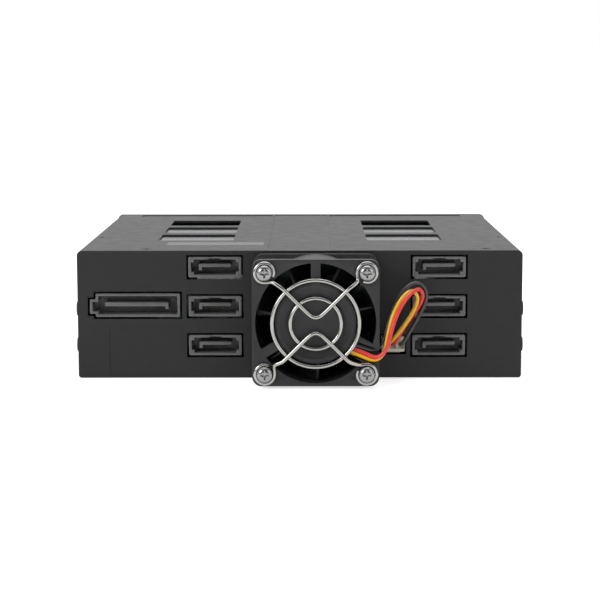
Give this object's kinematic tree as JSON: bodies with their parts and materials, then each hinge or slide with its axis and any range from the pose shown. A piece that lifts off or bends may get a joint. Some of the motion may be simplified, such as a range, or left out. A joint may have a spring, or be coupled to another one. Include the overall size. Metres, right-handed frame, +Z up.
{
  "type": "hot swap drive cage",
  "caption": "Steel cage for a 5.25-inch bay with hot swap trays for 2.5-inch drives, latch levers, rear data and power sockets and a guarded exhaust fan.",
  "frame": {"origin": "centre of the box round the cage, its fan and screws without the fan's lead, at the height of the underside", "axes": "+Z up, +Y towards the tray fronts, -Y towards the fan and sockets, +X to the right as seen from the fan side"},
  "size_m": [0.146, 0.161, 0.0415],
  "materials": {
    "shell_paint": "fine-textured dark grey paint",
    "cover_paint": "fine-textured grey paint",
    "rear_paint": "fine-textured near-black paint",
    "bezel_plastic": "matt black",
    "bare_steel": "zinc-plated sheet",
    "sled_steel": "bright rolled sheet",
    "board_green": "solder mask over glass board",
    "screw_steel": "nickel-plated",
    "black_screw": "black oxide",
    "port_plastic": "moulded, dark grey",
    "socket_plastic": "moulded, black",
    "fan_plastic": "moulded, black",
    "rotor_plastic": "moulded, black",
    "guard_chrome": "bright plated wire",
    "bush_brass": "sintered sleeve",
    "core_steel": "stacked laminations",
    "header_nylon": "moulded, off-white",
    "wire_yellow": "yellow insulation",
    "wire_red": "red insulation",
    "wire_black": "black insulation",
    "tray_plastic": "moulded, black",
    "lever_plastic": "moulded, dark grey",
    "button_plastic": "moulded, grey"
  },
  "bodies": {
    "cage": {"base_shell": "shell_paint", "top_cover": "cover_paint", "rear_panel": "rear_paint", "front_bezel": "bezel_plastic", "centre_divider": "bare_steel", "shelf_left_lower": "bare_steel", "shelf_left_upper": "bare_steel", "shelf_right_lower": "bare_steel", "shelf_right_upper": "bare_steel", "backplane_board": "board_green", "board_screws": "screw_steel", "cover_screws": "black_screw", "power_port": "port_plastic", "fan_frame": "fan_plastic", "fan_bearing": "bush_brass", "fan_stator": "core_steel", "fan_guard": "guard_chrome", "fan_screws": "screw_steel", "fan_header": "header_nylon", "fan_plug": "header_nylon", "fan_wire_yellow": "wire_yellow", "fan_wire_red": "wire_red", "fan_wire_black": "wire_black", "drive_socket_1": "socket_plastic", "drive_socket_2": "socket_plastic", "drive_socket_3": "socket_plastic", "drive_socket_4": "socket_plastic", "drive_socket_5": "socket_plastic", "drive_socket_6": "socket_plastic", "data_port_1": "port_plastic", "data_port_2": "port_plastic", "data_port_3": "port_plastic", "data_port_4": "port_plastic", "data_port_5": "port_plastic", "data_port_6": "port_plastic"},
    "rotor": {"fan_rotor": "rotor_plastic"},
    "tray_1": {"tray_sled_1": "sled_steel", "tray_face_1": "tray_plastic"},
    "lever_1": {"tray_lever_1": "lever_plastic"},
    "button_1": {"tray_button_1": "button_plastic"},
    "tray_2": {"tray_sled_2": "sled_steel", "tray_face_2": "tray_plastic"},
    "lever_2": {"tray_lever_2": "lever_plastic"},
    "button_2": {"tray_button_2": "button_plastic"},
    "tray_3": {"tray_sled_3": "sled_steel", "tray_face_3": "tray_plastic"},
    "lever_3": {"tray_lever_3": "lever_plastic"},
    "button_3": {"tray_button_3": "button_plastic"},
    "tray_4": {"tray_sled_4": "sled_steel", "tray_face_4": "tray_plastic"},
    "lever_4": {"tray_lever_4": "lever_plastic"},
    "button_4": {"tray_button_4": "button_plastic"},
    "tray_5": {"tray_sled_5": "sled_steel", "tray_face_5": "tray_plastic"},
    "lever_5": {"tray_lever_5": "lever_plastic"},
    "button_5": {"tray_button_5": "button_plastic"},
    "tray_6": {"tray_sled_6": "sled_steel", "tray_face_6": "tray_plastic"},
    "lever_6": {"tray_lever_6": "lever_plastic"},
    "button_6": {"tray_button_6": "button_plastic"}
  },
  "joints": [
    {"name": "fan_spin", "type": "hinge", "parent": "cage", "child": "rotor", "pos_m": [0.0051, -0.0675, 0.02075], "axis": [0, 1, 0], "continuous": true},
    {"name": "tray_1_slide", "type": "slide", "parent": "cage", "child": "tray_1", "axis": [0, 1, 0], "range_m": [0, 0.105]},
    {"name": "lever_1_swing", "type": "hinge", "parent": "tray_1", "child": "lever_1", "pos_m": [-0.0672, 0.0765, 0.0343], "axis": [0, 0, 1], "range_deg": [0, 80]},
    {"name": "button_1_press", "type": "slide", "parent": "tray_1", "child": "button_1", "axis": [0, -1, 0], "range_m": [0, 0.0018], "stiffness_N_per_m": 400},
    {"name": "tray_2_slide", "type": "slide", "parent": "cage", "child": "tray_2", "axis": [0, 1, 0], "range_m": [0, 0.105]},
    {"name": "lever_2_swing", "type": "hinge", "parent": "tray_2", "child": "lever_2", "pos_m": [-0.0672, 0.0765, 0.0207], "axis": [0, 0, 1], "range_deg": [0, 80]},
    {"name": "button_2_press", "type": "slide", "parent": "tray_2", "child": "button_2", "axis": [0, -1, 0], "range_m": [0, 0.0018], "stiffness_N_per_m": 400},
    {"name": "tray_3_slide", "type": "slide", "parent": "cage", "child": "tray_3", "axis": [0, 1, 0], "range_m": [0, 0.105]},
    {"name": "lever_3_swing", "type": "hinge", "parent": "tray_3", "child": "lever_3", "pos_m": [-0.0672, 0.0765, 0.0071], "axis": [0, 0, 1], "range_deg": [0, 80]},
    {"name": "button_3_press", "type": "slide", "parent": "tray_3", "child": "button_3", "axis": [0, -1, 0], "range_m": [0, 0.0018], "stiffness_N_per_m": 400},
    {"name": "tray_4_slide", "type": "slide", "parent": "cage", "child": "tray_4", "axis": [0, 1, 0], "range_m": [0, 0.105]},
    {"name": "lever_4_swing", "type": "hinge", "parent": "tray_4", "child": "lever_4", "pos_m": [0.00445, 0.0765, 0.0343], "axis": [0, 0, 1], "range_deg": [0, 80]},
    {"name": "button_4_press", "type": "slide", "parent": "tray_4", "child": "button_4", "axis": [0, -1, 0], "range_m": [0, 0.0018], "stiffness_N_per_m": 400},
    {"name": "tray_5_slide", "type": "slide", "parent": "cage", "child": "tray_5", "axis": [0, 1, 0], "range_m": [0, 0.105]},
    {"name": "lever_5_swing", "type": "hinge", "parent": "tray_5", "child": "lever_5", "pos_m": [0.00445, 0.0765, 0.0207], "axis": [0, 0, 1], "range_deg": [0, 80]},
    {"name": "button_5_press", "type": "slide", "parent": "tray_5", "child": "button_5", "axis": [0, -1, 0], "range_m": [0, 0.0018], "stiffness_N_per_m": 400},
    {"name": "tray_6_slide", "type": "slide", "parent": "cage", "child": "tray_6", "axis": [0, 1, 0], "range_m": [0, 0.105]},
    {"name": "lever_6_swing", "type": "hinge", "parent": "tray_6", "child": "lever_6", "pos_m": [0.00445, 0.0765, 0.0071], "axis": [0, 0, 1], "range_deg": [0, 80]},
    {"name": "button_6_press", "type": "slide", "parent": "tray_6", "child": "button_6", "axis": [0, -1, 0], "range_m": [0, 0.0018], "stiffness_N_per_m": 400}
  ]
}
